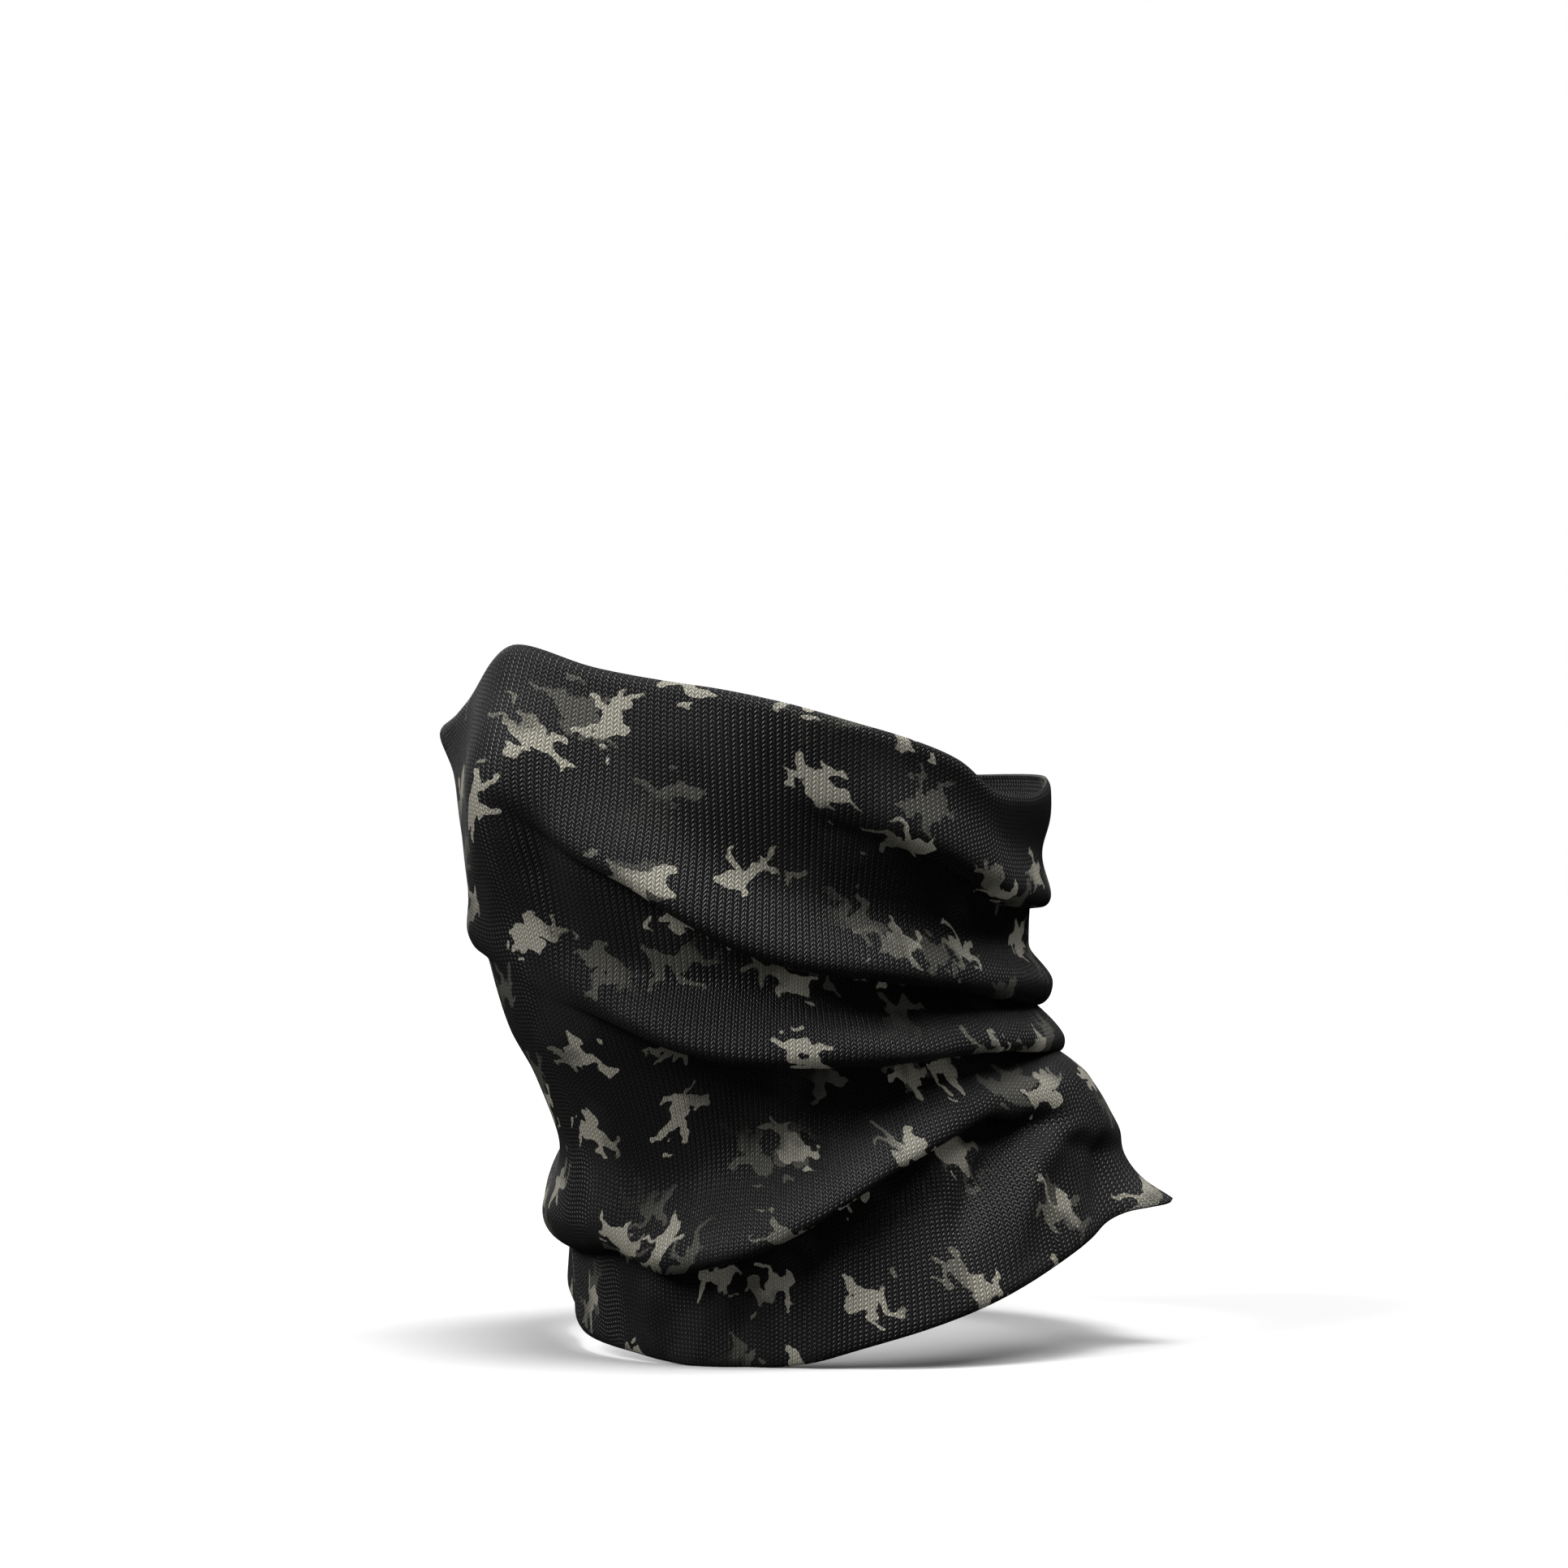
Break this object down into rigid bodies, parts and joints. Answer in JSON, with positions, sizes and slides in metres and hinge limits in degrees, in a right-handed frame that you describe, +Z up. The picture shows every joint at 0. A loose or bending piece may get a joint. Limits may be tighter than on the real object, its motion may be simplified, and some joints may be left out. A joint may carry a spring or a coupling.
{
  "type": "camo face mask",
  "caption": "Tube of printed stretch jersey, open at both ends, worn over the nose, cheeks and neck; one overlocked seam at the centre back.",
  "frame": {"origin": "on the axis of the neck, at the height of the wearer's chin, where the mask is held by the head", "axes": "+Z up along the neck; the wearer looks along -Y; +X is the wearer's left"},
  "size_m": [0.1561, 0.198, 0.18],
  "materials": {
    "jersey": "matte weft-knitted jersey, black with charcoal and sage camouflage blotches",
    "sewing_thread": "black spun polyester thread"
  },
  "bodies": {
    "root": {"knit_tube": "jersey", "needle_thread_inner": "sewing_thread", "needle_thread_outer": "sewing_thread", "looper_thread_upper": "sewing_thread", "looper_thread_lower": "sewing_thread", "rim_tack": "sewing_thread", "hem_tack": "sewing_thread"}
  },
  "joints": []
}
